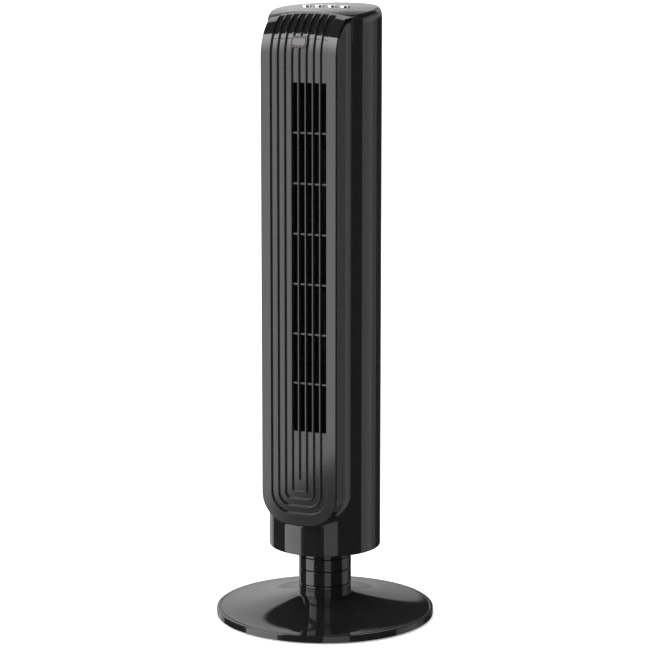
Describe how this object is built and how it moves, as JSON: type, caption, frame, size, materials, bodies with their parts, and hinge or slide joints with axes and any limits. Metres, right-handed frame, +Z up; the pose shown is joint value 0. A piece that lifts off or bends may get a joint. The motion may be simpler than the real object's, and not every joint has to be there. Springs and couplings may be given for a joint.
{
  "type": "tower fan",
  "caption": "Slim oscillating tower fan on a round pedestal, with a ringed column, a ribbed front with nested U grooves, an offset air outlet and a crowned top with push keys.",
  "frame": {"origin": "centre of the footprint, on the floor", "axes": "+Z up along the column and the swing axis, -Y towards the front where the air comes out, +X to the right seen from the front"},
  "size_m": [0.2858, 0.2858, 0.7988],
  "materials": {
    "gloss_shell": "mirror-gloss black moulded plastic",
    "grille_plastic": "satin-gloss black moulded plastic",
    "window_smoke": "smoked infrared window",
    "key_metal": "bright plated key tops",
    "matte_inner": "plain dark moulded plastic",
    "zinc_steel": "zinc-plated pressed steel",
    "soft_rubber": "dark soft rubber",
    "circuit_board": "green circuit board",
    "nylon_white": "natural nylon"
  },
  "bodies": {
    "base": {"base_cover": "gloss_shell", "base_ballast": "zinc_steel", "base_underplate": "matte_inner", "foot_1": "soft_rubber", "foot_2": "soft_rubber", "foot_3": "soft_rubber", "foot_4": "soft_rubber", "foot_5": "soft_rubber", "column_core": "matte_inner", "column_ring_lower": "gloss_shell", "column_ring_middle": "gloss_shell", "column_ring_upper": "gloss_shell", "column_collar": "gloss_shell", "thrust_washer": "nylon_white", "swing_arm": "zinc_steel"},
    "tower": {"swing_motor": "zinc_steel", "swing_bracket": "zinc_steel", "bottom_cover": "matte_inner", "turntable_plate": "matte_inner", "front_housing": "gloss_shell", "rear_housing": "gloss_shell", "rear_screw_1": "zinc_steel", "rear_screw_2": "zinc_steel", "rear_screw_3": "zinc_steel", "rear_screw_4": "zinc_steel", "handle_cup": "matte_inner", "cord_gland": "soft_rubber", "front_grille": "grille_plastic", "ir_window": "window_smoke", "ir_receiver": "matte_inner", "top_cap": "gloss_shell", "key_switch_1": "matte_inner", "key_switch_2": "matte_inner", "key_switch_3": "matte_inner", "key_switch_4": "matte_inner", "control_board": "circuit_board", "board_post_1": "nylon_white", "board_post_2": "nylon_white", "board_post_3": "nylon_white", "air_scroll": "matte_inner", "air_tongue": "matte_inner", "motor_deck": "matte_inner", "bearing_deck": "matte_inner", "motor_can": "zinc_steel", "motor_mount": "soft_rubber", "motor_capacitor": "matte_inner", "top_bush": "zinc_steel"},
    "crank": {"swing_crank": "nylon_white"},
    "impeller": {"impeller_section_1": "matte_inner", "impeller_section_2": "matte_inner", "impeller_section_3": "matte_inner", "impeller_section_4": "matte_inner", "impeller_section_5": "matte_inner", "impeller_end": "matte_inner", "rotor_shaft": "zinc_steel", "rotor_hub": "nylon_white"},
    "key_1": {"key_1": "key_metal"},
    "key_2": {"key_2": "key_metal"},
    "key_3": {"key_3": "key_metal"},
    "key_4": {"key_4": "key_metal"}
  },
  "joints": [
    {"name": "oscillation", "type": "hinge", "parent": "base", "child": "tower", "pos_m": [0, 0, 0.1], "axis": [0, 0, 1], "range_deg": [-30, 30]},
    {"name": "crank_turn", "type": "hinge", "parent": "tower", "child": "crank", "pos_m": [0, 0.04, 0.12], "axis": [0, 0, 1], "range_deg": [-100, 100]},
    {"name": "impeller_spin", "type": "hinge", "parent": "tower", "child": "impeller", "pos_m": [0.006, 0.006, 0.45], "axis": [0, 0, 1], "continuous": true},
    {"name": "key_1_press", "type": "slide", "parent": "tower", "child": "key_1", "axis": [0, 0, -1], "range_m": [0, 0.0008], "stiffness_N_per_m": 1000, "springref_m": -0.0005},
    {"name": "key_2_press", "type": "slide", "parent": "tower", "child": "key_2", "axis": [0, 0, -1], "range_m": [0, 0.0008], "stiffness_N_per_m": 1000, "springref_m": -0.0005},
    {"name": "key_3_press", "type": "slide", "parent": "tower", "child": "key_3", "axis": [0, 0, -1], "range_m": [0, 0.0008], "stiffness_N_per_m": 1000, "springref_m": -0.0005},
    {"name": "key_4_press", "type": "slide", "parent": "tower", "child": "key_4", "axis": [0, 0, -1], "range_m": [0, 0.0008], "stiffness_N_per_m": 1000, "springref_m": -0.0005}
  ],
  "couplings": [
    {"joint": "crank_turn", "follows": "oscillation", "ratio": -3.2}
  ]
}
